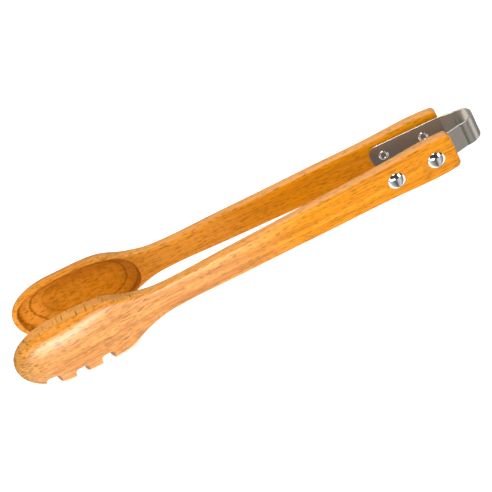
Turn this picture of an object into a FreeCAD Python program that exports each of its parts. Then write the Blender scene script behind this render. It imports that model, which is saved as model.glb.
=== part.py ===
"""Spring loaded wooden kitchen tongs, as a parametric FreeCAD document.

Frame: the origin is on the axis of the steel bow that joins the arms. +Z runs up along that axis, the spoons
lie towards -X, and the gap between the arms opens along Y. Each arm is drawn in its own frame, where X runs
along the arm and the inner face is parallel to it, then turned by half of the splay about the bow's axis.
"""
import FreeCAD, Part
import math
import os
import Sketcher

doc = FreeCAD.newDocument("KitchenTongs")

# Driving dimensions, in millimetres and degrees. Places along an arm are measured from the bow's axis.
DIMENSIONS = {
    "half_splay": 2.3,
    "half_gap": 10.2,
    "strip_thick": 1.0,
    "strip_width": 15.0,
    "bow_outer_rad": 8.4,
    "neck_bend_rad": 4.5,
    "leg_bend_rad": 4.0,
    "neck_pinch": 0.8,
    "leg_corner_rad": 6.0,
    "leg_overhang": 8.0,
    "wood_end": 10.0,
    "tip_end": 291.0,
    "tail_width": 23.0,
    "tail_thick": 8.2,
    "tail_corner": 3.2,
    "tail_edge": 1.2,
    "grip_end": 61.0,
    "neck_at": 193.0,
    "neck_width": 17.5,
    "neck_thick": 7.5,
    "flare_at": 210.5,
    "flare_width": 24.5,
    "shoulder_at": 227.0,
    "shoulder_width": 37.6,
    "widest_at": 256.0,
    "spoon_width": 41.0,
    "spoon_depth": 13.0,
    "rim_half": 2.2,
    "face_crown": 0.3,
    "bowl_length": 80.0,
    "bowl_width": 36.0,
    "bowl_depth": 8.5,
    "bowl_tip_wall": 3.6,
    "notch_width": 8.4,
    "notch_depth": 8.2,
    "notch_corner": 2.6,
    "notch_skew": 0.46,
    "notch_pitch": 17.0,
    "first_notch": 15.8,
    "rivet_inset": 12.2,
    "rivet_pitch": 25.0,
    "shank_rad": 2.3,
    "shank_gap": 0.05,
    "head_rad": 5.0,
    "head_rise": 2.2,
    "head_rim": 0.4,
    "tube_rad": 1.6,
    "tube_depth": 6.0,
    "point_rise": 1.0,
}

NOTCH_COUNT = 3
SECTION_POINTS = 24
HANDLE_POWER = 5.0
BACK_POWER = 2.12
RIM_POWER = 6.0
TIP_POWER = 2.2
BOWL_POWER = 2.5
TAIL_STEPS = 4
HANDLE_STEPS = 5
SPOON_STEPS = 9
TIP_STEPS = 7
BOWL_STEPS = 7
FIT = 1e-4
RIVET_PLACES = ["0 - wood_end - rivet_inset", "0 - wood_end - rivet_inset - rivet_pitch"]

sheet = doc.addObject("Spreadsheet::Sheet", "Dimensions")
for row, (alias, value) in enumerate(DIMENSIONS.items(), start=1):
    sheet.set("A%d" % row, alias)
    sheet.set("B%d" % row, str(value))
    sheet.setAlias("B%d" % row, alias)
doc.recompute()


def dim(alias):
    return float(sheet.get(alias))


def bind(obj, prop, formula):
    """Tie a property to a formula in which every sheet value is written as its alias."""
    words = ["Dimensions." + word if word in DIMENSIONS else word for word in formula.split(" ")]
    obj.setExpression(prop, " ".join(words))


# ---- sketches ----

def new_sketch(body, name, plane_role):
    sketch = body.newObject("Sketcher::SketchObject", name)
    plane = next(item for item in body.Origin.OriginFeatures if item.Role == plane_role)
    sketch.AttachmentSupport = [(plane, "")]
    sketch.MapMode = "FlatFace"
    return sketch


def value_of(formula):
    """A formula's present value, so that a drawing starts where its bound dimensions will put it."""
    total = 0.0
    for term in formula.replace("- ", "+ -").split("+ "):
        product = 1.0
        for factor in term.split("* "):
            word = factor.strip()
            sign = -1.0 if word.startswith("-") else 1.0
            word = word.lstrip("-")
            product *= sign * (dim(word) if word in DIMENSIONS else float(word))
        total += product
    return total


def drive(sketch, kind, targets, formula, unit="mm"):
    """Add one dimension to a sketch and tie it to the sheet."""
    start = value_of(formula)
    if unit == "deg":
        start = math.radians(start)
    index = sketch.addConstraint(Sketcher.Constraint(kind, *targets, start))
    if unit == "deg":
        formula = "( " + formula + " ) * 1 deg"
    bind(sketch, "Constraints[%d]" % index, formula)


def vector(x, y, z=0.0):
    return FreeCAD.Vector(x, y, z)


# ---- rivets ----

def rivet_body(name):
    """A semi-tubular rivet: Y runs out through the strip and the wood, and 0 is the strip's inner face."""
    body = doc.addObject("PartDesign::Body", name)
    sketch = new_sketch(body, name + "_profile", "XY_Plane")
    corners = [
        ("0", "strip_thick + tail_thick + head_rise"),
        ("head_rad", "strip_thick + tail_thick + head_rim"),
        ("head_rad", "strip_thick + tail_thick"),
        ("shank_rad", "strip_thick + tail_thick"),
        ("shank_rad", "0"),
        ("shank_rad + shank_rad - tube_rad", "0"),
        ("tube_rad", "0"),
        ("tube_rad", "tube_depth"),
        ("0", "tube_depth + point_rise"),
    ]
    places = [vector(value_of(across), value_of(along)) for across, along in corners]
    rise = value_of("head_rise - head_rim")
    dome_rad = (dim("head_rad") ** 2 + rise ** 2) / (2 * rise)
    roll_rad = dim("shank_rad") - dim("tube_rad")
    dome_mid = vector(dome_rad * math.sin(0.5 * math.asin(dim("head_rad") / dome_rad)), 0)
    dome_mid.y = places[0].y - dome_rad + math.sqrt(dome_rad ** 2 - dome_mid.x ** 2)
    roll_mid = vector(dim("shank_rad"), -roll_rad)
    sketch.addGeometry(Part.Arc(places[0], dome_mid, places[1]))
    for start, end in zip(places[1:5], places[2:6]):
        sketch.addGeometry(Part.LineSegment(start, end))
    sketch.addGeometry(Part.Arc(places[5], roll_mid, places[6]))
    for start, end in zip(places[6:8], places[7:9]):
        sketch.addGeometry(Part.LineSegment(start, end))
    sketch.addGeometry(Part.LineSegment(places[8], places[0]))
    # An arc of circle runs anticlockwise, so the dome and the roll start at their far ends.
    first_ends = [2, 1, 1, 1, 1, 2, 1, 1, 1]
    for index, first in enumerate(first_ends):
        following = (index + 1) % len(first_ends)
        ends = (index, 3 - first, following, first_ends[following])
        sketch.addConstraint(Sketcher.Constraint("Coincident", *ends))
    for index, (across, along) in enumerate(corners):
        if across == "0":
            sketch.addConstraint(Sketcher.Constraint("PointOnObject", index, first_ends[index], -2))
        else:
            drive(sketch, "DistanceX", (-1, 1, index, first_ends[index]), across)
        if along == "0":
            sketch.addConstraint(Sketcher.Constraint("PointOnObject", index, first_ends[index], -1))
        else:
            drive(sketch, "DistanceY", (-1, 1, index, first_ends[index]), along)
    sketch.addConstraint(Sketcher.Constraint("PointOnObject", 0, 3, -2))
    sketch.addConstraint(Sketcher.Constraint("PointOnObject", 5, 3, -1))
    revolution = body.newObject("PartDesign::Revolution", name + "_turned")
    revolution.Profile = sketch
    revolution.ReferenceAxis = (sketch, ["V_Axis"])
    revolution.Angle = 360
    sketch.Visibility = False
    return body


# ---- spring clip ----

def arc(centre, radius, start, end):
    circle = Part.Circle(centre, vector(0, 0, 1), radius)
    return Part.ArcOfCircle(circle, math.radians(start), math.radians(end))


def strip_half():
    """Half of the strip in an arm's frame: leg, bend, free leg, neck and half of the bow."""
    body = doc.addObject("PartDesign::Body", "strip_half")
    sketch = new_sketch(body, "strip_edges", "XY_Plane")
    thick = dim("strip_thick")
    bend_away = math.hypot(dim("wood_end"), dim("half_gap") - dim("leg_bend_rad"))
    bend_turn = math.degrees(math.atan2(dim("wood_end"), dim("half_gap") - dim("leg_bend_rad")))
    free_leg_in = value_of("bow_outer_rad - neck_pinch - leg_bend_rad")
    lean = math.degrees(math.acos(free_leg_in / bend_away)) - bend_turn
    along = vector(math.cos(math.radians(lean)), -math.sin(math.radians(lean)))
    normal = vector(math.sin(math.radians(lean)), math.cos(math.radians(lean)))
    bend_centre = vector(-dim("wood_end"), dim("half_gap") - dim("leg_bend_rad"))
    offset = bend_centre.dot(normal) + dim("leg_bend_rad") + dim("neck_bend_rad")
    reach = dim("bow_outer_rad") + dim("neck_bend_rad")
    neck_centre = normal * offset - along * math.sqrt(reach ** 2 - offset ** 2)
    meet = math.degrees(math.atan2(neck_centre.y, neck_centre.x))
    leg_end = "0 - wood_end - rivet_inset - rivet_pitch - leg_overhang"
    # The neck curves the other way, so the strip's thickness is taken from the bend and the bow and added there.
    for inward in (0, thick):
        bend_rad = dim("leg_bend_rad") - inward
        neck_rad = dim("neck_bend_rad") + inward
        bend_start = bend_centre + vector(0, bend_rad)
        sketch.addGeometry(Part.LineSegment(vector(value_of(leg_end), bend_start.y), bend_start))
        sketch.addGeometry(arc(bend_centre, bend_rad, 90 - lean, 90))
        sketch.addGeometry(Part.LineSegment(bend_centre + normal * bend_rad, neck_centre - normal * neck_rad))
        sketch.addGeometry(arc(neck_centre, neck_rad, -90 - lean, meet - 180))
        sketch.addGeometry(arc(vector(0, 0), dim("bow_outer_rad") - inward, dim("half_splay"), meet))
    outer_leg, outer_bend, outer_free, outer_neck, outer_bow = range(5)
    inner_leg, inner_bend, inner_free, inner_neck, inner_bow = range(5, 10)
    leg_cap, apex_cap = 10, 11
    pieces = sketch.Geometry
    sketch.addGeometry(Part.LineSegment(pieces[inner_leg].StartPoint, pieces[outer_leg].StartPoint))
    sketch.addGeometry(Part.LineSegment(pieces[inner_bow].StartPoint, pieces[outer_bow].StartPoint))
    for leg, bend, free, neck, bow, end in (
        (outer_leg, outer_bend, outer_free, outer_neck, outer_bow, 2),
        (inner_leg, inner_bend, inner_free, inner_neck, inner_bow, 1),
    ):
        sketch.addConstraint(Sketcher.Constraint("Tangent", leg, 2, bend, 2))
        sketch.addConstraint(Sketcher.Constraint("Tangent", bend, 1, free, 1))
        sketch.addConstraint(Sketcher.Constraint("Tangent", free, 2, neck, 1))
        sketch.addConstraint(Sketcher.Constraint("Tangent", neck, 2, bow, 2))
        sketch.addConstraint(Sketcher.Constraint("Horizontal", leg))
        sketch.addConstraint(Sketcher.Constraint("Coincident", leg_cap, end, leg, 1))
        sketch.addConstraint(Sketcher.Constraint("Coincident", apex_cap, end, bow, 1))
        sketch.addConstraint(Sketcher.Constraint("Coincident", bow, 3, -1, 1))
    sketch.addConstraint(Sketcher.Constraint("Vertical", leg_cap))
    sketch.addConstraint(Sketcher.Constraint("Coincident", outer_bend, 3, inner_bend, 3))
    sketch.addConstraint(Sketcher.Constraint("Coincident", outer_neck, 3, inner_neck, 3))
    sketch.addConstraint(Sketcher.Constraint("PointOnObject", -1, 1, apex_cap))
    drive(sketch, "DistanceX", (-1, 1, outer_leg, 1), leg_end)
    drive(sketch, "DistanceY", (-1, 1, outer_leg, 1), "half_gap")
    drive(sketch, "DistanceX", (-1, 1, outer_bend, 3), "0 - wood_end")
    drive(sketch, "Radius", (outer_bend,), "leg_bend_rad")
    drive(sketch, "Radius", (inner_bend,), "leg_bend_rad - strip_thick")
    drive(sketch, "Radius", (outer_neck,), "neck_bend_rad")
    drive(sketch, "Radius", (outer_bow,), "bow_outer_rad")
    drive(sketch, "Radius", (inner_bow,), "bow_outer_rad - strip_thick")
    drive(sketch, "Distance", (-1, 1, outer_free), "bow_outer_rad - neck_pinch")
    drive(sketch, "Angle", (apex_cap,), "half_splay", "deg")
    pad = body.newObject("PartDesign::Pad", "strip_blank")
    pad.Profile = sketch
    pad.Midplane = True
    bind(pad, "Length", "strip_width")
    doc.recompute()
    holes = new_sketch(body, "strip_holes", "XZ_Plane")
    for index, place in enumerate(RIVET_PLACES):
        hole = Part.Circle(vector(value_of(place), 0), vector(0, 0, 1), value_of("shank_rad + shank_gap"))
        holes.addGeometry(hole)
        holes.addConstraint(Sketcher.Constraint("PointOnObject", index, 3, -1))
        drive(holes, "DistanceX", (-1, 1, index, 3), place)
        drive(holes, "Radius", (index,), "shank_rad + shank_gap")
    pocket = body.newObject("PartDesign::Pocket", "strip_rivet_holes")
    pocket.Profile = holes
    pocket.Type = "ThroughAll"
    pocket.Midplane = True
    doc.recompute()
    corners = []
    for number, edge in enumerate(pocket.Shape.Edges, start=1):
        upright = all(abs(vertex.X - value_of(leg_end)) < FIT for vertex in edge.Vertexes)
        if upright and abs(edge.Vertexes[0].Z - edge.Vertexes[-1].Z) < FIT:
            corners.append("Edge%d" % number)
    fillet = body.newObject("PartDesign::Fillet", "strip_end")
    fillet.Base = (pocket, corners)
    bind(fillet, "Radius", "leg_corner_rad")
    body.Placement = splay(1)
    return body


def spring_clip():
    half = strip_half()
    mirrored = doc.addObject("Part::Mirroring", "strip_other_half")
    mirrored.Source = half
    mirrored.Normal = (0, 1, 0)
    clip = doc.addObject("Part::Fuse", "spring_clip")
    clip.Base = half
    clip.Tool = mirrored
    clip.Refine = True
    return clip


# ---- wooden arms ----

def ease(share):
    return share * share * (3 - 2 * share)


def half_width(run):
    """Half of the arm's width seen from the side, at a distance from the bow's axis."""
    stops = [
        (dim("wood_end"), dim("tail_width"), None),
        (dim("neck_at"), dim("neck_width"), 0.0),
        (dim("flare_at"), dim("flare_width"), None),
        (dim("shoulder_at"), dim("shoulder_width"), None),
        (dim("widest_at"), dim("spoon_width"), 0.0),
    ]
    slopes = []
    for index, (place, width, slope) in enumerate(stops):
        if slope is None:
            before = stops[max(index - 1, 0)]
            after = stops[index + 1]
            slope = (after[1] - before[1]) / (after[0] - before[0])
        slopes.append(slope)
    if run >= dim("widest_at"):
        share = (run - dim("widest_at")) / (dim("tip_end") - dim("widest_at"))
        return dim("spoon_width") / 2 * tip_taper(share)
    for index in range(len(stops) - 1):
        start, end = stops[index], stops[index + 1]
        if run <= end[0]:
            span = end[0] - start[0]
            u = (run - start[0]) / span
            width = start[1] * (2 * u ** 3 - 3 * u ** 2 + 1) + end[1] * (3 * u ** 2 - 2 * u ** 3)
            width += span * (slopes[index] * (u ** 3 - 2 * u ** 2 + u) + slopes[index + 1] * (u ** 3 - u ** 2))
            return width / 2
    return dim("spoon_width") / 2


def tip_taper(share):
    return max(1 - min(share, 1) ** TIP_POWER, 0) ** (1 / TIP_POWER)


def spoon_share(run):
    """How much of the spoon's section an arm has here: 0 along the handle and 1 at the widest place."""
    share = (run - dim("neck_at")) / (dim("widest_at") - dim("neck_at"))
    return ease(min(max(share, 0), 1))


def closed_curve(run, middle, width, outward, inward, outer_power, inner_power):
    """A closed rounded curve across an arm, bulging outwards and inwards from its middle depth."""
    points = []
    for index in range(SECTION_POINTS):
        # The seam lies inwards, where the inner face is planed.
        angle = 2 * math.pi * index / SECTION_POINTS
        across = math.sin(angle)
        up = -math.cos(angle)
        power = outer_power if up > 0 else inner_power
        size = (abs(across) ** power + abs(up) ** power) ** (-1 / power)
        rise = up * size * (outward if up > 0 else inward)
        points.append(vector(-run, dim("half_gap") + middle + rise, across * size * width))
    curve = Part.BSplineCurve()
    steps = [index / SECTION_POINTS for index in range(SECTION_POINTS + 1)]
    curve.interpolate(Points=points, PeriodicFlag=True, Parameters=steps)
    return Part.Wire([curve.toShape()])


def section(run, shrink, tail_cut):
    """The arm's rounded section. Depth is measured outwards from the inner face's plane."""
    spoon = spoon_share(run)
    lean = min(max((run - dim("grip_end")) / (dim("neck_at") - dim("grip_end")), 0), 1)
    handle_depth = dim("tail_thick") + dim("face_crown") * (1 - lean)
    handle_depth += (dim("neck_thick") - dim("tail_thick")) * ease(lean)
    depth = handle_depth + (dim("spoon_depth") - handle_depth) * spoon
    middle = dim("tail_thick") / 2 + (dim("rim_half") - dim("tail_thick") / 2) * ease(spoon)
    width = half_width(run) - dim("tail_corner") * tail_cut
    outward = (depth - middle) * shrink - dim("tail_edge") * tail_cut
    inward = (middle + dim("face_crown")) * shrink
    back_power = HANDLE_POWER + (BACK_POWER - HANDLE_POWER) * spoon
    rim_power = HANDLE_POWER + (RIM_POWER - HANDLE_POWER) * spoon
    return closed_curve(run, middle, width, outward, inward, back_power, rim_power)


def arm_blank():
    """The carved outside of an arm, still over-full where its flat faces are planed."""
    sections = []
    for index in range(TAIL_STEPS):
        turn = index / TAIL_STEPS * math.pi / 2
        run = dim("wood_end") + dim("tail_corner") * (1 - math.cos(turn))
        sections.append(section(run, 1.0, 1 - math.sin(turn)))
    handle_start = value_of("wood_end + tail_corner")
    handle_span = value_of("neck_at - wood_end - tail_corner")
    for index in range(HANDLE_STEPS):
        sections.append(section(handle_start + handle_span * index / HANDLE_STEPS, 1.0, 0.0))
    spoon_span = value_of("widest_at - neck_at")
    for index in range(SPOON_STEPS):
        sections.append(section(dim("neck_at") + spoon_span * index / SPOON_STEPS, 1.0, 0.0))
    tip_span = value_of("tip_end - widest_at")
    for index in range(TIP_STEPS):
        turn = index / TIP_STEPS * math.pi / 2
        run = dim("widest_at") + tip_span * math.sin(turn)
        sections.append(section(run, tip_taper(math.sin(turn)), 0.0))
    tip = Part.Vertex(-dim("tip_end"), value_of("half_gap + rim_half"), 0)
    sections.append(tip)
    return Part.makeLoft(sections, True, False)


def wooden_arm(name, notched):
    """An arm in its own frame, on the +Y side: the blank is planed, hollowed, drilled and notched."""
    blank = doc.addObject("Part::Feature", name + "_blank")
    blank.Shape = arm_blank()
    plane = doc.addObject("Part::Box", name + "_inner_plane")
    bind(plane, "Length", "tip_end")
    bind(plane, "Width", "spoon_depth + half_gap")
    bind(plane, "Height", "spoon_width + tail_width")
    bind(plane, "Placement.Base.x", "0 - tip_end - 1")
    bind(plane, "Placement.Base.y", "half_gap")
    bind(plane, "Placement.Base.z", "0 - spoon_width / 2 - tail_width / 2")
    planed = doc.addObject("Part::Common", name + "_planed")
    planed.Base = blank
    planed.Tool = plane
    tools = []
    if notched:
        for index in range(NOTCH_COUNT):
            tools.append(notch("%s_notch_%d" % (name, index + 1), index))
    tools += [bowl(name), outer_plane(name)]
    for index, place in enumerate(RIVET_PLACES):
        tools.append(rivet_hole("%s_hole_%d" % (name, index + 1), place))
    doc.recompute()
    # The carved skin is free-form, so the cuts are made on its shape in turn.
    shape = planed.Shape
    for tool in tools:
        shape = shape.cut(tool.Shape)
    arm = doc.addObject("Part::Feature", name)
    arm.Shape = shape
    return arm


def outer_plane(name):
    """The handle's outer face is planed flat where the rivet heads sit; the face then thins towards the neck."""
    box = doc.addObject("Part::Box", name + "_outer_plane")
    bind(box, "Length", "neck_at - wood_end")
    bind(box, "Width", "tail_thick")
    bind(box, "Height", "tail_width * 2")
    bind(box, "Placement.Base.x", "0 - neck_at")
    bind(box, "Placement.Base.y", "half_gap + tail_thick")
    bind(box, "Placement.Base.z", "0 - tail_width")
    return box


def bowl(name):
    """The hollow starts behind the wall left at the tip and is deepest half way along."""
    hollow = doc.addObject("Part::Feature", name + "_bowl")
    middle = value_of("tip_end - bowl_tip_wall") - dim("bowl_length") / 2
    reach = dim("bowl_length") / 2
    sections = [Part.Vertex(-middle - reach, dim("half_gap"), 0)]
    for index in range(1, 2 * BOWL_STEPS):
        share = math.cos(math.pi * index / (2 * BOWL_STEPS))
        shrink = (1 - abs(share) ** BOWL_POWER) ** (1 / BOWL_POWER)
        width = dim("bowl_width") / 2 * shrink
        depth = dim("bowl_depth") * shrink
        sections.append(closed_curve(middle + reach * share, 0, width, depth, depth, BOWL_POWER, BOWL_POWER))
    sections.append(Part.Vertex(-middle + reach, dim("half_gap"), 0))
    hollow.Shape = Part.makeLoft(sections, True, False)
    return hollow


def rivet_hole(name, place):
    hole = doc.addObject("Part::Cylinder", name)
    bind(hole, "Radius", "shank_rad + shank_gap")
    bind(hole, "Height", "tail_thick * 3")
    hole.Placement.Rotation = FreeCAD.Rotation(vector(1, 0, 0), -90)
    bind(hole, "Placement.Base.x", place)
    bind(hole, "Placement.Base.y", "half_gap - tail_thick")
    return hole


def notch(name, index):
    """A gap between two teeth, cut in from the lower edge and slanting away from the tip as it comes outwards."""
    run = value_of("tip_end - first_notch") - dim("notch_pitch") * index
    edge = half_width(run)
    side = dim("notch_width") / 2
    radius = dim("notch_corner")
    top = dim("notch_depth") - edge
    foot = -edge - dim("notch_width")
    sketch = doc.addObject("Sketcher::SketchObject", name + "_outline")
    sketch.Placement = FreeCAD.Placement(vector(0, 0), FreeCAD.Rotation(vector(1, 0, 0), 90))
    bind(sketch, "Placement.Base.x", "0 - notch_skew * spoon_depth")
    bind(sketch, "Placement.Base.y", "half_gap - spoon_depth / 2")
    left_wall, left_corner, ceiling, right_corner, right_wall, mouth = range(6)
    left, right = -run - side, -run + side
    sketch.addGeometry(Part.LineSegment(vector(left, foot), vector(left, top - radius)))
    sketch.addGeometry(arc(vector(left + radius, top - radius), radius, 90, 180))
    sketch.addGeometry(Part.LineSegment(vector(left + radius, top), vector(right - radius, top)))
    sketch.addGeometry(arc(vector(right - radius, top - radius), radius, 0, 90))
    sketch.addGeometry(Part.LineSegment(vector(right, top - radius), vector(right, foot)))
    sketch.addGeometry(Part.LineSegment(vector(right, foot), vector(left, foot)))
    sketch.addConstraint(Sketcher.Constraint("Tangent", left_wall, 2, left_corner, 2))
    sketch.addConstraint(Sketcher.Constraint("Tangent", left_corner, 1, ceiling, 1))
    sketch.addConstraint(Sketcher.Constraint("Tangent", ceiling, 2, right_corner, 2))
    sketch.addConstraint(Sketcher.Constraint("Tangent", right_corner, 1, right_wall, 1))
    sketch.addConstraint(Sketcher.Constraint("Coincident", right_wall, 2, mouth, 1))
    sketch.addConstraint(Sketcher.Constraint("Coincident", mouth, 2, left_wall, 1))
    sketch.addConstraint(Sketcher.Constraint("Vertical", left_wall))
    sketch.addConstraint(Sketcher.Constraint("Vertical", right_wall))
    sketch.addConstraint(Sketcher.Constraint("Horizontal", mouth))
    sketch.addConstraint(Sketcher.Constraint("Equal", left_corner, right_corner))
    middle = "first_notch - tip_end + notch_pitch * %d" % index
    drive(sketch, "Radius", (left_corner,), "notch_corner")
    drive(sketch, "DistanceX", (-1, 1, mouth, 1), middle + " + notch_width * 0.5")
    drive(sketch, "DistanceX", (-1, 1, mouth, 2), middle + " - notch_width * 0.5")
    drive(sketch, "DistanceY", (-1, 1, ceiling, 1), "notch_depth - %f" % edge)
    drive(sketch, "DistanceY", (-1, 1, mouth, 1), "0 - notch_width - %f" % edge)
    cutter = doc.addObject("Part::Extrusion", name)
    cutter.Base = sketch
    cutter.Dir = (dim("notch_skew"), 1, 0)
    cutter.Solid = True
    bind(cutter, "LengthFwd", "spoon_depth * 2")
    return cutter


# ---- assembly ----

def splay(side):
    """Turns an arm's frame about the bow's axis: +1 is the arm on the +Y side and -1 the one on the -Y side."""
    return FreeCAD.Placement(vector(0, 0), FreeCAD.Rotation(vector(0, 0, 1), -side * dim("half_splay")))


def mirrored_arm(source, name):
    arm = doc.addObject("Part::Mirroring", name)
    arm.Source = source
    arm.Normal = (0, 1, 0)
    return arm


subparts = [spring_clip()]
rear = wooden_arm("rear_arm", False)
rear.Placement = splay(1)
front_drawn = wooden_arm("front_arm_drawn", True)
front_drawn.Placement = splay(1)
subparts += [rear, mirrored_arm(front_drawn, "front_arm")]
for side, side_name in ((1, "rear"), (-1, "front")):
    for place, place_name in zip(RIVET_PLACES, ("bow", "spoon")):
        rivet = rivet_body("%s_rivet_%s_end" % (side_name, place_name))
        seat = vector(value_of(place), side * value_of("half_gap - strip_thick"))
        facing = FreeCAD.Rotation(vector(1, 0, 0), 90 - side * 90)
        rivet.Placement = splay(side) * FreeCAD.Placement(seat, facing)
        subparts.append(rivet)

doc.recompute()
for item in doc.Objects:
    if "Invalid" in item.State or "Error" in item.State:
        raise RuntimeError("%s failed: %s" % (item.Name, item.State))
for item in subparts:
    item.Label = item.Name
    shape = item.Shape
    if shape.isNull() or not shape.isValid() or len(shape.Solids) != 1:
        raise RuntimeError("%s is not one sound solid" % item.Label)
os.makedirs("parts", exist_ok=True)
for item in subparts:
    item.Shape.exportStep("parts/%s.step" % item.Label)
    box = item.Shape.BoundBox
    print(item.Label, round(item.Shape.Volume), [round(v, 2) for v in (box.XMin, box.XMax, box.YMin, box.YMax,
          box.ZMin, box.ZMax)])
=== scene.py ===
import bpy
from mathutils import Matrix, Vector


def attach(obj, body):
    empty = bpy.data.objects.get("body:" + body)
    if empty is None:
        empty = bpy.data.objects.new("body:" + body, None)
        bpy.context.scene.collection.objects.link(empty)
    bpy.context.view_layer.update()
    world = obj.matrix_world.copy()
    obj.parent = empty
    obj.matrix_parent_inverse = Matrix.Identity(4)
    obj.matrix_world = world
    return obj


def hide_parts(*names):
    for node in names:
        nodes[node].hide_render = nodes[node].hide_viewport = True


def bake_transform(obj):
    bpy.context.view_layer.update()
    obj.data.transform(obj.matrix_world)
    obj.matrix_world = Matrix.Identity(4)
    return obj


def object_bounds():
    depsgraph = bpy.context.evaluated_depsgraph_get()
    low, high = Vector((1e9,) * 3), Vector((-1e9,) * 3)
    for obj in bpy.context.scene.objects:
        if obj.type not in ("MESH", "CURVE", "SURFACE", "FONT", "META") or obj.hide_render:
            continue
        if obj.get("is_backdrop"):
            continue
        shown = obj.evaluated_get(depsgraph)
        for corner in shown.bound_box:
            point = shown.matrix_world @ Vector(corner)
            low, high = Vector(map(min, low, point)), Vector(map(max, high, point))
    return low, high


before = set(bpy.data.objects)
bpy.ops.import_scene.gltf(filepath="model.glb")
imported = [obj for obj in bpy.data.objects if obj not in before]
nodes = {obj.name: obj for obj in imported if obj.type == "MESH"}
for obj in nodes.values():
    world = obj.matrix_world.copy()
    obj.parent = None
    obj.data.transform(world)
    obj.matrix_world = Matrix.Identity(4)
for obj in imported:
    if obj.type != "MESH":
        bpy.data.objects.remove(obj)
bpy.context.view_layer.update()        # the imported mesh nodes, laid out in world space

import math

import bmesh
import bpy
from mathutils import Matrix, Vector

scene = bpy.context.scene
mm = 0.001

# how the two arms stand
stance = {
    "openAngle": math.radians(2.3),        # each arm's turn from the middle
    "innerFace": 10.2 * mm,                # from the bow's axis to an arm's inner face
    "woodThick": 8.2 * mm,                 # wood under the rivet heads
}


class Wire:
    # one socket of a node tree; sums on it add their own Math nodes
    def __init__(self, tree, socket=None):
        self.tree = tree
        self.socket = socket

    def node(self, kind, settings=None, sockets=None, out=0):
        made = self.tree.nodes.new(kind)
        for name, value in (settings or {}).items():
            if name == "stops":
                elements = made.color_ramp.elements
                elements[0].position, elements[-1].position = value[0][0], value[-1][0]
                for place, _ in value[1:-1]:
                    elements.new(place)
                for element, (_, colour) in zip(elements, value):
                    element.color = (*colour, 1.0)
            else:
                setattr(made, name, value)
        for name, value in (sockets or {}).items():
            if isinstance(value, Wire):
                self.tree.links.new(value.socket, made.inputs[name])
            else:
                made.inputs[name].default_value = value
        return Wire(self.tree, made.outputs[out] if len(made.outputs) else None)

    def other(self, out):
        # another output of the node that this wire leaves
        return Wire(self.tree, self.socket.node.outputs[out])

    def sum(self, operation, *values):
        return self.node("ShaderNodeMath", {"operation": operation}, dict(enumerate(values)))

    def __add__(self, other): return self.sum("ADD", self, other)
    def __radd__(self, other): return self.sum("ADD", other, self)
    def __sub__(self, other): return self.sum("SUBTRACT", self, other)
    def __rsub__(self, other): return self.sum("SUBTRACT", other, self)
    def __mul__(self, other): return self.sum("MULTIPLY", self, other)
    def __rmul__(self, other): return self.sum("MULTIPLY", other, self)
    def __truediv__(self, other): return self.sum("DIVIDE", self, other)
    def __rtruediv__(self, other): return self.sum("DIVIDE", other, self)
    def __pow__(self, other): return self.sum("POWER", self, other)
    def __abs__(self): return self.sum("ABSOLUTE", self)

    def ramp(self, low, high, start=0.0, end=1.0):
        # smooth step from start to end while the wire's value goes from low to high
        sockets = {"Value": self, "From Min": low, "From Max": high, "To Min": start, "To Max": end}
        return self.node("ShaderNodeMapRange", {"interpolation_type": "SMOOTHSTEP"}, sockets)

    def blend(self, other, share, how="MIX"):
        # mixes two colours, or one colour with a plain one
        return self.node("ShaderNodeMix", {"data_type": "RGBA", "blend_type": how}, {0: share, 6: self, 7: other}, 2)


def vectorOf(x, y, z):
    maker = next(part for part in (x, y, z) if isinstance(part, Wire))
    return maker.node("ShaderNodeCombineXYZ", None, {0: x, 1: y, 2: z})


def noise(vector, detail=2.0, rough=0.5, scale=1.0):
    sockets = {"Vector": vector, "Scale": scale, "Detail": detail, "Roughness": rough}
    return vector.node("ShaderNodeTexNoise", None, sockets)


def newMaterial(name):
    material = bpy.data.materials.new(name)
    material.use_nodes = True
    tree = material.node_tree
    tree.nodes.clear()
    return material, Wire(tree)


def finishMaterial(start, shader):
    start.node("ShaderNodeOutputMaterial", None, {"Surface": shader})


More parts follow.
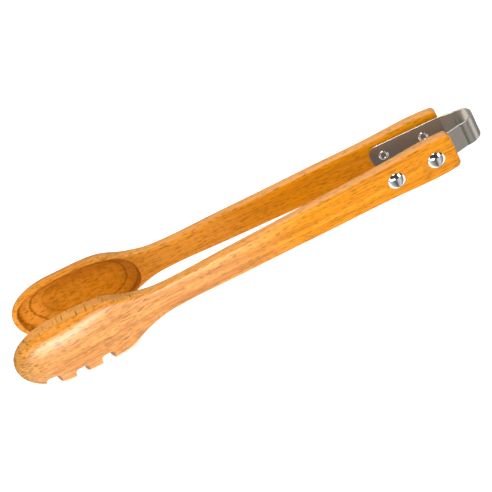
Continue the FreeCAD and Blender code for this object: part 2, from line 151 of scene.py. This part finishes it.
beech = {
    "colours": {
        "amber": (0.78, 0.275, 0.001),          # flat faces of the handles
        "peach": (0.86, 0.368, 0.080),          # spoons
        "innerFace": (0.60, 0.215, 0.000),      # painted shade: the faces between the arms, which look into the gap, are darker
        "edge": (0.97, 0.50, 0.20),             # painted highlight: rounded edges and narrow faces made paler, standing in for the overhead light
        "streakDark": (0.60, 0.175, 0.006),     # broad strips along the grain
        "streakLight": (0.92, 0.40, 0.05),
        "lateWood": (0.46, 0.135, 0.006),       # the line that closes each year's ring
        "fibre": (0.40, 0.130, 0.002),
        "ray": (0.34, 0.120, 0.002),            # short dark flecks
        "endRay": (0.19, 0.075, 0.004),         # the same flecks cut across
        "bowlBrown": (0.64, 0.205, 0.000),      # oil-darkened hollow
        "bowlDark": (0.22, 0.055, 0.000),
        "bowlPale": (0.86, 0.330, 0.050),       # the hollow's end by the tip, cut across the grain
        "cutWall": (0.20, 0.070, 0.012),        # walls of the notches
        "tipBrown": (0.42, 0.205, 0.045),       # end grain at the tip; also the painted shade on the spoon's shoulders
        "sheen": (1.0, 0.60, 0.22),             # the oil's dull reflection
    },
    "noises": {
        # cycles per mm along, into and across the board; detail, roughness; axis that the shift moves
        "drift": (0.012, 0.03, 0.05, 2.0, 0.5, 0),
        "wobble": (0.11, 0.5, 0.5, 3.0, 0.6, 2),
        "fibre": (0.07, 1.2, 1.3, 4.0, 0.66, 0),
        "line": (0.022, 0.9, 1.15, 4.0, 0.62, 0),
        "streak": (0.010, 0.16, 0.24, 3.0, 0.5, 2),
        "mottle": (0.22, 0.5, 0.50, 5.0, 0.72, None),
    },
    "rays": {
        # mm along, into and across the board, with the clear wood round each
        "short": (5.6, 3.0, 1.05), "long": (8.5, 3.5, 1.3), "fine": (4.2, 2.6, 0.75),
        "end": (4.6, 9.0, 1.2), "tick": (1.8, 9.0, 7.0),
    },
    "rayShare": {"short": 0.55, "long": 0.32, "fine": 0.60},       # how many of the cells are dark
    "endRayShare": (0.25, 1.10),                # the same in long grain and in full end grain
    "rayEdge": (0.12, 0.42),                    # dark core and clear rim, in cell radii
    "rayWobble": 0.6,
    "ringSpacing": 2.6,                         # mm between rings, counted outwards from the inner face
    "ringBend": 0.004,                          # how much the rings curve across the width
    "ringDrift": 3.2,                           # mm that a ring wanders along the board
    "ringWobble": 0.5,
    "zones": {
        # mm from the bow's axis over which each change comes in
        "peach": (100.0, 170.0), "ticks": (190.0, 215.0), "notches": (205.0, 215.0), "notchesEnd": (282.5, 284.5),
        "bowlHandleEnd": (211.0, 232.0), "bowlPaleEnd": (262.0, 278.0), "tip": (266.0, 288.0),
        "lowerHalf": (-12.0, 6.0),              # this one is mm up the arm's side
    },
    "turned": {
        # how far the surface looks outwards, or along the arm, over which each change comes in
        "edge": (0.30, 0.92), "endGrain": (0.22, 0.70), "tip": (-0.2, 0.2), "tick": (0.55, 0.88),
        "shadedShoulder": (0.55, 0.92), "inwards": (-0.90, -0.30), "hollow": (-0.10, 0.02), "notch": (0.60, 0.80),
        "coat": (0.84, 0.94),
    },
    "strength": {
        "peach": 0.85, "streakDark": 0.55, "streakLight": 0.35, "lateWood": 0.20, "line": 0.58, "fibre": 0.48,
        "lowerFibre": 0.34, "edge": 0.62, "edgeOnSpoon": 0.22, "innerFace": 0.38, "tipAsEndGrain": 0.80,
        "cutWall": 0.85, "tipBrown": 0.85, "shoulderShade": 0.40, "ray": 0.84, "rayOnEdge": 0.34,
        "fineRay": 0.88, "fineRayOnEdge": 0.28, "endRay": 0.90,
    },
    "coat": {"handle": 0.12, "spoon": 0.97, "tipLoss": 0.75, "roughness": 0.36, "ior": 2.0},
    "roughness": 0.40,
}

bowl = {
    "middle": 247.4, "halfLength": 40.0, "halfWidth": 18.0,  # mm; the middle is counted from the bow's axis
    "power": 2.5,                                           # squareness of the outline
    "rings": 5.0, "ringWobble": 0.45, "ringDrift": 0.8,     # ring lines between the middle and the lip
    "base": 0.46, "mottle": 0.44, "wallBand": 0.36,         # brown of the floor, its clouds and the walls
    # the lip and handle-end strengths are painted shade inside the hollow's rim and at its steep end by the handle;
    # the spot is a dark stain near the tip
    "darkMottle": 0.36, "ringLine": 0.62, "lip": 0.28, "handleEndShade": 0.35, "spot": 0.35, "pale": 0.50,
    "spotRun": 267.0, "spotTall": -3.0,                     # a dark spot near the tip, in mm
    "spotSquares": (4.0, 42.0),                             # its core's and its rim's radius in mm, squared
}


def beechMaterial(name, side, shift, tickAndShadeShare):
    zones, turned, strength, coat = (beech[key] for key in ("zones", "turned", "strength", "coat"))
    material, start = newMaterial(name)
    place = start.node("ShaderNodeTexCoord", None, None, "Object")
    inArm = start.node("ShaderNodeVectorRotate", {"rotation_type": "Z_AXIS"},
                       {"Vector": place, "Angle": side * stance["openAngle"]})
    x = start.node("ShaderNodeSeparateXYZ", None, {0: inArm})
    run = x / -mm                                               # mm from the bow's axis
    depth = (x.other(1) * side - stance["innerFace"]) / mm      # mm outwards from the inner face
    tall = x.other(2) / mm

    normal = start.node("ShaderNodeTexCoord", None, None, "Normal")
    facingX = start.node("ShaderNodeSeparateXYZ", None, {0: normal})
    facingY = facingX.other(1) * side                           # above 0 looks outwards

    def paint(key):
        return (*beech["colours"][key], 1.0)

    def grain(key):
        *scales, detail, rough, shifted = beech["noises"][key]
        places = [line * scale for line, scale in zip((run, depth, tall), scales)]
        if shifted is not None:
            places[shifted] = places[shifted] + shift
        return noise(vectorOf(*places), detail, rough)

    def flecks(key, share):
        # spindle-shaped cells, of which a share is dark
        long, deep, thin = beech["rays"][key]
        vector = vectorOf(run / long + shift, depth / deep + long, tall / thin + wobble * beech["rayWobble"])
        cell = start.node("ShaderNodeTexVoronoi", {"feature": "F1"}, {"Vector": vector, "Scale": 1.0}, "Distance")
        pick = start.node("ShaderNodeSeparateColor", None, {0: cell.other("Color")})
        return (1 - cell.ramp(*beech["rayEdge"])) * pick.sum("GREATER_THAN", pick, 1 - share)

    # rings lie almost flat in the board, so the carving shows them as contours
    drift = grain("drift") - 0.5
    wobble = grain("wobble") - 0.5
    ring = depth + tall * tall * beech["ringBend"] + drift * beech["ringDrift"] + wobble * beech["ringWobble"]
    ring = ring / beech["ringSpacing"]
    phase = ring.sum("FRACT", ring)
    late = phase.ramp(0.45, 0.93) * (1 - phase.ramp(0.95, 1.0))
    fibre, line, streak = grain("fibre"), grain("line"), grain("streak")

    litEdge = 1 - abs(facingY).ramp(*turned["edge"])
    tipZone = run.ramp(*zones["tip"]) * facingY.ramp(*turned["tip"])
    endOn = abs(facingX).ramp(*turned["endGrain"])
    endOn = endOn.sum("MAXIMUM", endOn, tipZone * strength["tipAsEndGrain"])
    spoonward = run.ramp(*zones["peach"])

    share = beech["rayShare"]
    ray = flecks("short", share["short"])
    ray = ray.sum("MAXIMUM", ray, flecks("long", share["long"]))
    fineRay = flecks("fine", share["fine"])
    fewest, most = beech["endRayShare"]
    endRay = flecks("end", endOn * (most - fewest) + fewest) * endOn.ramp(0.0, 0.30)
    tick = flecks("tick", tickAndShadeShare) * (1 - abs(facingY).ramp(*turned["tick"])) * run.ramp(*zones["ticks"])

    # the hollow: inside the bowl's outline and looking inwards
    along = abs(run - bowl["middle"]) / bowl["halfLength"]
    across = abs(tall) / bowl["halfWidth"]
    reach = along ** bowl["power"] + across ** bowl["power"]
    hollow = (1 - reach.ramp(0.96, 1.03)) * (1 - facingY.ramp(*turned["hollow"]))
    shell = reach ** (1 / bowl["power"])                        # 0 in the hollow's middle and 1 at its lip
    turns = shell * bowl["rings"] + wobble * bowl["ringWobble"] + drift * bowl["ringDrift"]
    bowlPhase = turns.sum("FRACT", turns)
    mottle = grain("mottle")
    wall = shell.ramp(0.50, 0.80)
    band = bowlPhase.ramp(0.20, 0.60) * (1 - bowlPhase.ramp(0.90, 1.0))
    ringLine = bowlPhase.ramp(0.66, 0.86) * (1 - bowlPhase.ramp(0.90, 0.99))
    handleEndShade = 1 - run.ramp(*zones["bowlHandleEnd"])
    spotAway = (run - bowl["spotRun"]) ** 2.0 + (tall - bowl["spotTall"]) ** 2.0
    spot = 1 - spotAway.ramp(*bowl["spotSquares"])
    brown = bowl["base"] + mottle.ramp(0.40, 0.60) * bowl["mottle"] * (1 - wall) + wall * band * bowl["wallBand"]
    dark = mottle.ramp(0.50, 0.64) * bowl["darkMottle"] + wall * ringLine * bowl["ringLine"]
    # painted shade inside the hollow's lip and at its steep end by the handle, and a real dark stain near the tip
    paintedShadeAndStain = reach.ramp(0.82, 0.99) * bowl["lip"] + handleEndShade * bowl["handleEndShade"] + spot * bowl["spot"]
    pale = run.ramp(*zones["bowlPaleEnd"]) * (1 - ringLine) * (1 - shell.ramp(0.90, 0.98)) * bowl["pale"]

    # the notches' walls, which face along the arm, are painted dark
    notchWall = abs(facingX).ramp(*turned["notch"]) * run.ramp(*zones["notches"])
    notchWall = notchWall * (1 - run.ramp(*zones["notchesEnd"]))
    outside = 1 - hollow
    # painted shade: the spoon's shoulders, turning towards the top and bottom, are darkened, far more on the front
    # arm
    shadedShoulder = (1 - abs(facingY).ramp(*turned["shadedShoulder"])) * run.ramp(*zones["ticks"])
    lowerFibre = (1 - tall.ramp(*zones["lowerHalf"])) * fibre.ramp(0.40, 0.60)

    def lessOn(mask, plain, masked):
        # a strength that falls from its plain value where the mask is on
        return plain - mask * (plain - masked)

    colour = start.node("ShaderNodeMix", {"data_type": "RGBA"},
                        {0: spoonward * strength["peach"], 6: paint("amber"), 7: paint("peach")}, 2)
    layers = (      # from the lowest to the highest
        ("streakDark", streak.ramp(0.48, 0.66) * strength["streakDark"]),
        ("streakLight", (1 - streak.ramp(0.32, 0.50)) * strength["streakLight"]),
        ("lateWood", late * strength["lateWood"]),
        ("fibre", line.ramp(0.46, 0.63) * strength["line"]),
        ("fibre", fibre.ramp(0.50, 0.68) * strength["fibre"]),
        ("fibre", lowerFibre * strength["lowerFibre"]),
        # painted highlight: rounded edges and the narrow top and bottom faces are made paler, less so on the spoon
        ("edge", litEdge * lessOn(spoonward, strength["edge"], strength["edgeOnSpoon"])),
        # painted shade: faces that look into the gap between the arms are darkened
        ("innerFace", (1 - facingY.ramp(*turned["inwards"])) * strength["innerFace"]),
        ("bowlBrown", hollow * brown),
        ("bowlDark", hollow * dark),
        ("bowlDark", hollow * paintedShadeAndStain),
        ("bowlPale", hollow * pale),
        ("cutWall", notchWall * strength["cutWall"]),
        ("tipBrown", endOn * (1 - notchWall) * outside * spoonward * strength["tipBrown"]),
        # painted shade on the spoon's shoulders
        ("tipBrown", shadedShoulder * tickAndShadeShare * strength["shoulderShade"]),
        ("ray", ray * lessOn(litEdge, strength["ray"], strength["rayOnEdge"])),
        ("fibre", fineRay * lessOn(litEdge, strength["fineRay"], strength["fineRayOnEdge"])),
        ("endRay", endRay.sum("MAXIMUM", endRay, tick) * outside * strength["endRay"]),
    )
    for shade, mask in layers:
        colour = colour.blend(paint(shade), mask)

    rough = beech["roughness"] + fibre * 0.14 + ray * 0.12
    relief = start.node("ShaderNodeBump", None,
                        {"Strength": 0.14, "Distance": 0.0004, "Height": fibre * 0.6 - ray * 0.7 - late * 0.2})
    coatWeight = coat["handle"] + spoonward * (coat["spoon"] - coat["handle"])
    coatWeight = facingY.ramp(*turned["coat"]) * coatWeight * (1 - tipZone * coat["tipLoss"])
    shader = start.node("ShaderNodeBsdfPrincipled", None, {
        "Base Color": colour, "Roughness": rough, "Normal": relief,
        "IOR": 1.5, "Specular IOR Level": 0.15, "Specular Tint": paint("sheen"),
        "Coat Weight": coatWeight, "Coat Roughness": coat["roughness"], "Coat IOR": coat["ior"]})
    finishMaterial(start, shader)
    return material


# body, side of the gap, where in the tree the wood comes from, share of end-grain ticks along the spoon's edge,
# which also sets how much painted shade darkens the spoon's shoulders
for armName, side, shift, tickAndShadeShare in (("rear_arm", 1, 3.7, 0.05), ("front_arm", -1, 11.3, 0.65)):
    arm = nodes[armName]
    arm.data.materials.clear()
    arm.data.materials.append(beechMaterial("beech_" + armName, side, shift, tickAndShadeShare))
print("beech arms done")


strip = {
    # mm; places along a leg are counted from the bow's axis
    "thick": 1.0, "width": 15.0, "bowRadius": 8.4, "neckPinch": 0.8, "neckBend": 4.5, "legBend": 4.0,
    "legBendAt": 10.0, "legEnd": 55.2, "cornerRadius": 6.0, "edgeRadius": 0.28,
    "cornerSteps": 12, "legSteps": 16, "bendSteps": 8, "freeSteps": 4, "bowSteps": 40, "edgeSteps": 3,
    "steel": (0.43, 0.40, 0.355), "steelPale": (0.50, 0.455, 0.39), "scratch": (0.18, 0.15, 0.12),
    "rimHighlight": (0.90, 0.87, 0.80), "rimFrom": 0.45, "rimTo": 0.05,     # mm in from the strip's edges, painted bright: a painted highlight along both edges
    "brush": (0.12, 9.0), "cloud": (0.10, 0.16),           # noise cycles per mm along and across the strip
    "roughness": 0.24,
}


def stripPath():
    # outer line of half the strip in its arm's frame, in mm: points and outward normals, from leg end to bow
    gap = stance["innerFace"] / mm
    bendAt = Vector((-strip["legBendAt"], gap - strip["legBend"]))
    away = math.hypot(strip["legBendAt"], gap - strip["legBend"])
    turn = math.atan2(strip["legBendAt"], gap - strip["legBend"])
    lean = math.acos((strip["bowRadius"] - strip["neckPinch"] - strip["legBend"]) / away) - turn
    alongLeg = Vector((math.cos(lean), -math.sin(lean)))
    outward = Vector((math.sin(lean), math.cos(lean)))
    lineAway = strip["bowRadius"] - strip["neckPinch"] + strip["neckBend"]
    reach = strip["bowRadius"] + strip["neckBend"]
    neckAt = outward * lineAway - alongLeg * math.sqrt(reach ** 2 - lineAway ** 2)
    meet = math.atan2(neckAt.y, neckAt.x)
    path = []
    corner = strip["cornerRadius"]
    for step in range(strip["cornerSteps"] + 1):
        ahead = corner * (1 - math.cos(math.pi / 2 * step / strip["cornerSteps"]))
        path.append((Vector((-strip["legEnd"] + ahead, gap)), Vector((0, 1))))
    legStart = -strip["legEnd"] + corner
    for step in range(1, strip["legSteps"]):
        path.append((Vector((legStart + (bendAt.x - legStart) * step / strip["legSteps"], gap)), Vector((0, 1))))
    for step in range(strip["bendSteps"] + 1):
        angle = math.pi / 2 - lean * step / strip["bendSteps"]
        normal = Vector((math.cos(angle), math.sin(angle)))
        path.append((bendAt + normal * strip["legBend"], normal))
    neckStart = neckAt - outward * strip["neckBend"]
    freeStart = path[-1][0]
    for step in range(1, strip["freeSteps"]):
        path.append((freeStart.lerp(neckStart, step / strip["freeSteps"]), outward))
    first, last = -math.pi / 2 - lean, meet - math.pi
    for step in range(strip["bendSteps"] + 1):
        angle = first + (last - first) * step / strip["bendSteps"]
        normal = -Vector((math.cos(angle), math.sin(angle)))
        path.append((neckAt - normal * strip["neckBend"], normal))
    apex = stance["openAngle"]
    for step in range(1, strip["bowSteps"] + 1):
        angle = meet + (apex - meet) * step / strip["bowSteps"]
        normal = Vector((math.cos(angle), math.sin(angle)))
        path.append((normal * strip["bowRadius"], normal))
    return path


def stripSpring():
    half = stripPath()
    turned = Matrix.Rotation(-stance["openAngle"], 2)
    rear = [(turned @ point, turned @ normal) for point, normal in half]
    front = [(Vector((point.x, -point.y)), Vector((normal.x, -normal.y))) for point, normal in rear[-2::-1]]
    whole = rear + front
    lengths = [0.0]
    for (before, _), (after, _) in zip(whole, whole[1:]):
        lengths.append(lengths[-1] + (after - before).length)
    total = lengths[-1]
    edge, steps = strip["edgeRadius"], strip["edgeSteps"]
    mesh = bmesh.new()
    uvLayer = mesh.loops.layers.uv.new("strip")
    rings = []
    for (point, normal), length in zip(whole, lengths):
        fromEnd = min(length, total - length)
        wide = strip["width"] / 2
        if fromEnd < strip["cornerRadius"]:
            short = strip["cornerRadius"] - fromEnd
            wide += math.sqrt(max(strip["cornerRadius"] ** 2 - short ** 2, 0)) - strip["cornerRadius"]
        ring = []
        for corner in range(4):
            # the section's four rounded corners: outer top, outer bottom, inner bottom, inner top
            for step in range(steps + 1):
                angle = math.pi / 2 * (1 - corner - step / steps)
                rise, out = math.sin(angle), math.cos(angle)
                deep = edge if corner < 2 else strip["thick"] - edge
                high = wide - edge if corner in (0, 3) else edge - wide
                spot = point - normal * (deep - out * edge)
                ring.append(mesh.verts.new((spot.x * mm, spot.y * mm, (high + rise * edge) * mm)))
        rings.append((ring, length))
    around = len(rings[0][0])
    for (before, lengthA), (after, lengthB) in zip(rings, rings[1:]):
        for index in range(around):
            following = (index + 1) % around
            face = mesh.faces.new((before[index], before[following], after[following], after[index]))
            for loop, length in zip(face.loops, (lengthA, lengthA, lengthB, lengthB)):
                loop[uvLayer].uv = (length * mm, loop.vert.co.z)
    for ring, _ in (rings[0], rings[-1]):
        mesh.faces.new(ring)
    bmesh.ops.recalc_face_normals(mesh, faces=mesh.faces)
    data = bpy.data.meshes.new("spring_strip")
    mesh.to_mesh(data)
    mesh.free()
    piece = bpy.data.objects.new("spring_strip", data)
    scene.collection.objects.link(piece)
    for polygon in data.polygons:
        polygon.use_smooth = True
    weighted = piece.modifiers.new("evenFaces", "WEIGHTED_NORMAL")
    weighted.keep_sharp = True
    return piece


def steelMaterial():
    material, start = newMaterial("brushed_strip_steel")
    place = start.node("ShaderNodeTexCoord", None, None, "UV")
    split = start.node("ShaderNodeSeparateXYZ", None, {0: place})
    along, across = split / mm, split.other(1) / mm
    (brushAlong, brushAcross), (cloudAlong, cloudAcross) = strip["brush"], strip["cloud"]
    brush = noise(vectorOf(along * brushAlong, across * brushAcross, 0.0), 4.0, 0.65)
    cloud = noise(vectorOf(along * cloudAlong, across * cloudAcross, 3.0), 3.0, 0.5)
    tint = start.node("ShaderNodeMix", {"data_type": "RGBA"},
                      {0: cloud, 6: (*strip["steel"], 1.0), 7: (*strip["steelPale"], 1.0)}, 2)
    tint = tint.blend((*strip["scratch"], 1.0), brush.ramp(0.45, 0.75) * 0.35)
    halfWidth = strip["width"] / 2
    # painted highlight: a pale band along both edges of the strip
    rimHighlight = abs(across).ramp(halfWidth - strip["rimFrom"], halfWidth - strip["rimTo"])
    tint = tint.blend((*strip["rimHighlight"], 1.0), rimHighlight * 0.8)
    rough = strip["roughness"] + brush * 0.12 - rimHighlight * 0.08
    relief = start.node("ShaderNodeBump", None, {"Strength": 0.12, "Distance": 0.0001, "Height": brush})
    shader = start.node("ShaderNodeBsdfPrincipled", None, {
        "Base Color": tint, "Metallic": 1.0, "Roughness": rough, "Normal": relief})
    finishMaterial(start, shader)
    return material


spring = stripSpring()
spring.data.materials.append(steelMaterial())
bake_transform(spring)
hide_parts("spring_clip")
print("spring strip done")


rivet = {
    "headRadius": 5.0, "headRise": 2.2, "headRim": 0.4, "shankRadius": 2.3, "tubeRadius": 1.6,
    "tubeDepth": 6.0, "tubePoint": 1.0, "places": (22.2, 47.2),
    "segments": 96, "domeSteps": 24, "rollSteps": 16, "sharpAngle": math.radians(40),
    "tubeRings": (0.2, 0.6, 1.0),          # shares of the tube's depth
    "onAxis": 1e-6,                        # a ring under this radius closes to one point
    "nickel": (0.86, 0.85, 0.83), "nickelDull": (0.78, 0.77, 0.74), "roughness": 0.07,
    "hazeScale": 900.0, "scuffScale": 3500.0,              # noise cycles per metre
}


def rivetProfile():
    # (radius, height) from the dome's top to the bottom of the tube, in mm; 0 is the strip's inner face
    headBase = strip["thick"] + stance["woodThick"] / mm
    rise = rivet["headRise"] - rivet["headRim"]
    domeRadius = (rivet["headRadius"] ** 2 + rise ** 2) / (2 * rise)
    sweep = math.asin(rivet["headRadius"] / domeRadius)
    top = headBase + rivet["headRise"]
    profile = []
    for step in range(rivet["domeSteps"] + 1):
        angle = sweep * step / rivet["domeSteps"]
        profile.append((domeRadius * math.sin(angle), top - domeRadius * (1 - math.cos(angle))))
    roll = rivet["shankRadius"] - rivet["tubeRadius"]
    profile += [(rivet["headRadius"], headBase), (rivet["shankRadius"], headBase), (rivet["shankRadius"], 0.0)]
    for step in range(rivet["rollSteps"] + 1):
        angle = math.pi * step / rivet["rollSteps"]
        profile.append((rivet["shankRadius"] + roll * math.cos(angle), -roll * math.sin(angle)))
    profile += [(rivet["tubeRadius"], rivet["tubeDepth"] * share) for share in rivet["tubeRings"]]
    profile.append((0.0, rivet["tubeDepth"] + rivet["tubePoint"]))
    return profile


def turnedRivet(name, run, side, cadNode):
    profile = rivetProfile()
    mesh = bmesh.new()
    rings = []
    for radius, height in profile:
        if radius < rivet["onAxis"]:
            rings.append([mesh.verts.new((0, height * mm, 0))])
            continue
        ring = []
        for index in range(rivet["segments"]):
            angle = 2 * math.pi * index / rivet["segments"]
            ring.append(mesh.verts.new((radius * math.cos(angle) * mm, height * mm, radius * math.sin(angle) * mm)))
        rings.append(ring)
    for before, after in zip(rings, rings[1:]):
        for index in range(rivet["segments"]):
            following = (index + 1) % rivet["segments"]
            if len(before) == 1:
                mesh.faces.new((before[0], after[following], after[index]))
            elif len(after) == 1:
                mesh.faces.new((before[index], before[following], after[0]))
            else:
                mesh.faces.new((before[index], before[following], after[following], after[index]))
    inArm = Matrix.Translation((-run * mm, stance["innerFace"] - strip["thick"] * mm, 0))
    toWorld = Matrix.Rotation(-stance["openAngle"], 4, "Z")
    mirror = Matrix.Diagonal((1, side, 1, 1))
    bmesh.ops.transform(mesh, matrix=mirror @ toWorld @ inArm, verts=mesh.verts)
    bmesh.ops.recalc_face_normals(mesh, faces=mesh.faces)
    data = bpy.data.meshes.new(name)
    mesh.to_mesh(data)
    mesh.free()
    for polygon in data.polygons:
        polygon.use_smooth = True
    data.set_sharp_from_angle(angle=rivet["sharpAngle"])
    piece = bpy.data.objects.new(name, data)
    scene.collection.objects.link(piece)
    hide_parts(cadNode)
    return piece


def nickelMaterial():
    material, start = newMaterial("polished_nickel")
    place = start.node("ShaderNodeTexCoord", None, None, "Object")
    haze = noise(place, 3.0, 0.5, rivet["hazeScale"])
    scuff = noise(place, 5.0, 0.6, rivet["scuffScale"])
    tint = start.node("ShaderNodeMix", {"data_type": "RGBA"},
                      {0: haze, 6: (*rivet["nickel"], 1.0), 7: (*rivet["nickelDull"], 1.0)}, 2)
    rough = rivet["roughness"] + haze.ramp(0.5, 0.8) * 0.06
    relief = start.node("ShaderNodeBump", None, {"Strength": 0.03, "Distance": 0.0001, "Height": scuff})
    shader = start.node("ShaderNodeBsdfPrincipled", None, {
        "Base Color": tint, "Metallic": 1.0, "Roughness": rough, "Normal": relief})
    finishMaterial(start, shader)
    return material


nickel = nickelMaterial()
for body, side in (("rear", 1), ("front", -1)):
    for where, run in zip(("bow_end", "spoon_end"), rivet["places"]):
        piece = turnedRivet(f"{body}_rivet_{where}_turned", run, side, f"{body}_rivet_{where}")
        piece.data.materials.append(nickel)
        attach(piece, body + "_arm")
print("rivets done")


studio = {
    "floorSize": 30.0, "floorWhite": (0.90, 0.90, 0.90), "floorGlow": 0.62,
    "worldShade": 0.06,
    "walls": tuple((bearing / 360 + 0.5, (shade,) * 3) for bearing, shade in (
        # compass bearing from +X towards +Y in degrees, and how bright the room is there
        (-180, 1.00), (-150, 1.00), (-137, 0.36), (-124, 0.26), (-102, 0.06), (-89, 0.06), (-80, 0.34),
        (-60, 0.52), (-45, 0.20), (-32, 0.14), (-20, 0.95), (0, 1.00), (14, 0.14), (66, 0.05), (84, 0.50),
        (180, 1.00))),
    "wallGlow": 1.45, "horizon": (-0.12, 0.02),       # the walls fade out over these z of a unit ray
    "backGlow": 0.30, "backZone": (0.1, 0.7),         # the room's back comes in over these y of it
    "lights": (
        # name, where from the object's middle, size, watts
        ("keySoftbox", (-0.15, -0.62, 0.86), (0.8, 0.4), 6.4),
        ("overheadSoftbox", (-0.05, 0.22, 1.00), (1.1, 0.6), 4.8),
        ("leftSoftbox", (-0.85, -0.70, 0.30), (0.5, 0.5), 1.5),
        ("rightSoftbox", (0.75, -0.80, 0.25), (0.35, 0.5), 1.6),
        ("spoonStripbox", (-0.32, -0.98, 0.085), (0.70, 0.20), 4.4),
    ),
}

lowest, highest = (Vector(corner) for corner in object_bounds())
middle = (lowest + highest) / 2

floorMesh = bpy.data.meshes.new("studio_floor")
reachOut = studio["floorSize"] / 2
corners = [(-reachOut, -reachOut), (reachOut, -reachOut), (reachOut, reachOut), (-reachOut, reachOut)]
floorMesh.from_pydata([(x, y, lowest.z) for x, y in corners], [], [(0, 1, 2, 3)])
floor = bpy.data.objects.new("studio_floor", floorMesh)
scene.collection.objects.link(floor)
floorMaterial, start = newMaterial("pale_floor")
finishMaterial(start, start.node("ShaderNodeBsdfPrincipled", None, {
    "Base Color": (*studio["floorWhite"], 1.0), "Roughness": 0.8, "Specular IOR Level": 0.1,
    "Emission Color": (1.0, 1.0, 1.0, 1.0), "Emission Strength": studio["floorGlow"]}))
floorMesh.materials.append(floorMaterial)
floor.visible_glossy = False       # the metal mirrors the room instead
floor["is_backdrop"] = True

world = bpy.data.worlds.new("studio_world")
world.use_nodes = True
scene.world = world
world.node_tree.nodes.clear()
start = Wire(world.node_tree)
# below the horizon the room is a ring of pale and dark walls, which the metal mirrors
looking = start.node("ShaderNodeTexCoord", None, None, "Generated")
part = start.node("ShaderNodeSeparateXYZ", None, {0: looking})
bearing = start.sum("ARCTAN2", part.other(1), part) * (180 / math.pi)
height = part.other(2)
walls = start.node("ShaderNodeValToRGB", {"stops": studio["walls"]}, {0: bearing / 360 + 0.5})
behind = part.other(1).ramp(*studio["backZone"])
belowHorizon = 1 - height.ramp(*studio["horizon"])
shade = studio["worldShade"] + behind * studio["backGlow"] + walls * studio["wallGlow"] * belowHorizon
seen = start.node("ShaderNodeLightPath", None, None, "Is Camera Ray")
strength = shade + seen * (1.0 - shade)
start.node("ShaderNodeOutputWorld", None, {
    "Surface": start.node("ShaderNodeBackground", None, {"Color": (1.0, 1.0, 1.0, 1.0), "Strength": strength})})

for name, offset, size, watts in studio["lights"]:
    lamp = bpy.data.lights.new(name, "AREA")
    lamp.shape = "RECTANGLE"
    lamp.size, lamp.size_y = size
    lamp.energy = watts
    holder = bpy.data.objects.new(name, lamp)
    holder.location = middle + Vector(offset)
    holder.rotation_euler = Vector(offset).to_track_quat("Z", "Y").to_euler()
    scene.collection.objects.link(holder)

view = {
    "azimuth": 7.53, "elevation": 31.77, "roll": -30.23, "away": 0.8861, "lens": 111.8,
    "aim": (-0.0002, -0.0028, -0.0055),      # from the object's middle
}
azimuth, elevation, roll = (math.radians(view[key]) for key in ("azimuth", "elevation", "roll"))
level = math.cos(elevation)
back = Vector((math.sin(azimuth) * level, -math.cos(azimuth) * level, math.sin(elevation)))
right = (-back).cross(Vector((0, 0, 1))).normalized()
up = right.cross(-back)
rightRolled = right * math.cos(roll) + up * math.sin(roll)
upRolled = up * math.cos(roll) - right * math.sin(roll)
lens = bpy.data.cameras.new("studio_camera")
lens.lens = view["lens"]
lens.sensor_width = 36.0
camera = bpy.data.objects.new("studio_camera", lens)
camera.matrix_world = Matrix.Translation(middle + Vector(view["aim"]) + back * view["away"]) @ Matrix(
    (rightRolled, upRolled, back)).transposed().to_4x4()
scene.collection.objects.link(camera)
scene.camera = camera
scene.view_settings.view_transform = "Standard"
print("studio done")
